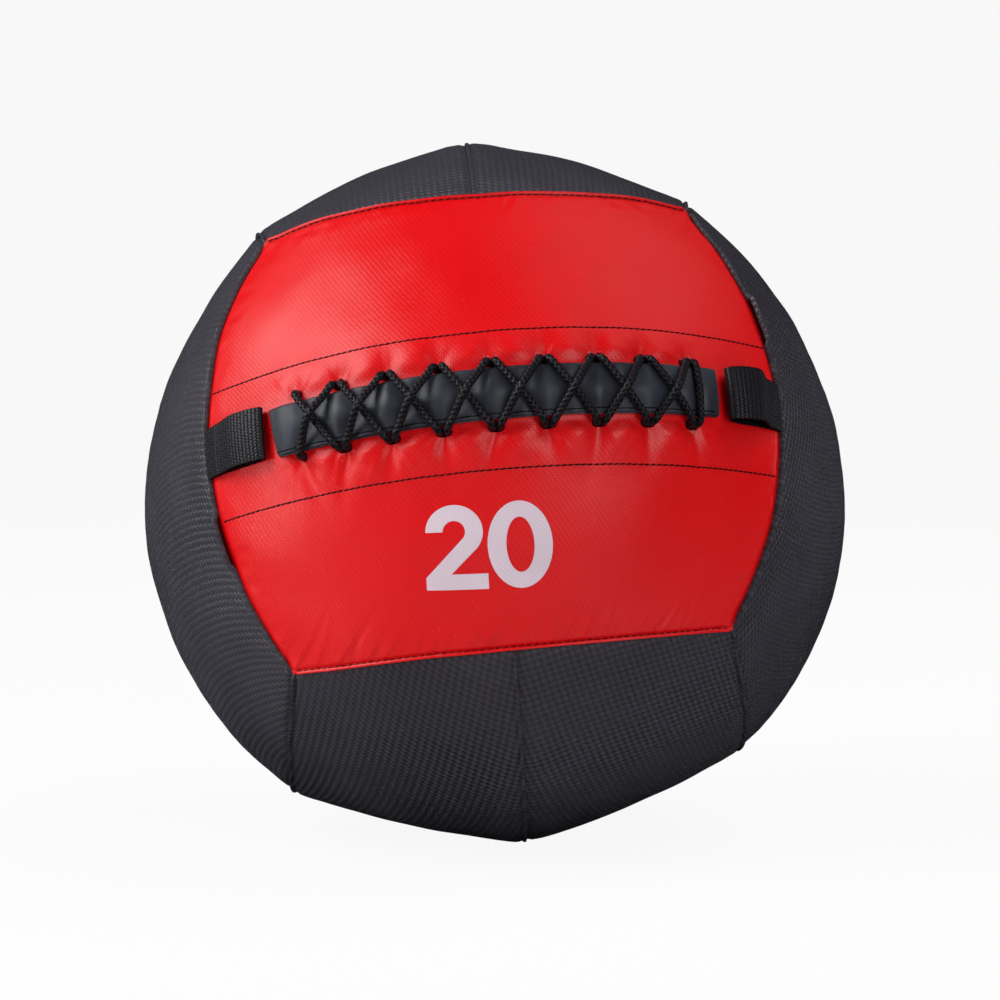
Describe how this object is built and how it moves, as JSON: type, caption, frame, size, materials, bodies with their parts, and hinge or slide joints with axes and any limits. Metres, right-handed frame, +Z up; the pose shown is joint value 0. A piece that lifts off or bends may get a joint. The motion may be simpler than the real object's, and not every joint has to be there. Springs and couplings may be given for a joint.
{
  "type": "wall ball",
  "caption": "Soft round wall ball of sewn panels with a laced closure over a flap, two webbing loops, a liner, textile stuffing and a ballast core.",
  "frame": {"origin": "on the floor under the ball's centre, at the flat place that the ball rests on", "axes": "+Z up, -Y towards the laced front, +X to the right as seen from the front"},
  "size_m": [0.3581, 0.3549, 0.353],
  "materials": {
    "black_vinyl": "satin, embossed with a small woven relief",
    "red_vinyl": "semi-gloss coated fabric with a fine weave",
    "flap_leatherette": "smooth satin",
    "lace_cord": "braided, matte",
    "webbing": "ribbed nylon",
    "facing_canvas": "plain weave",
    "liner_cotton": "plain weave",
    "textile_fill": "packed shreds",
    "ballast_canvas": "canvas",
    "ballast_shot": "packed shot"
  },
  "bodies": {
    "ball": {"cover_front_upper": "red_vinyl", "cover_front_lower": "red_vinyl", "cover_back_upper": "black_vinyl", "cover_back_lower": "black_vinyl", "cover_top_left": "black_vinyl", "cover_top_right": "black_vinyl", "cover_bottom_left": "black_vinyl", "cover_bottom_right": "black_vinyl", "cover_left_front": "black_vinyl", "cover_left_back": "black_vinyl", "cover_right_front": "black_vinyl", "cover_right_back": "black_vinyl", "eyelet_facing_upper": "facing_canvas", "eyelet_facing_lower": "facing_canvas", "closure_flap": "flap_leatherette", "lace": "lace_cord", "lace_knot_upper": "lace_cord", "lace_knot_lower": "lace_cord", "liner_bag": "liner_cotton", "stuffing_upper": "textile_fill", "stuffing_lower": "textile_fill", "ballast_bag": "ballast_canvas", "ballast_fill": "ballast_shot"},
    "left_loop": {"webbing_loop_left": "webbing"},
    "right_loop": {"webbing_loop_right": "webbing"}
  },
  "joints": [
    {"name": "left_loop_lift", "type": "hinge", "parent": "ball", "child": "left_loop", "pos_m": [-0.13904, -0.11244, 0.20071], "axis": [0.0854, -0.3269, -0.9412], "range_deg": [0, 80]},
    {"name": "right_loop_lift", "type": "hinge", "parent": "ball", "child": "right_loop", "pos_m": [0.13805, -0.1057, 0.22344], "axis": [-0.0854, 0.3269, 0.9412], "range_deg": [0, 80]}
  ]
}
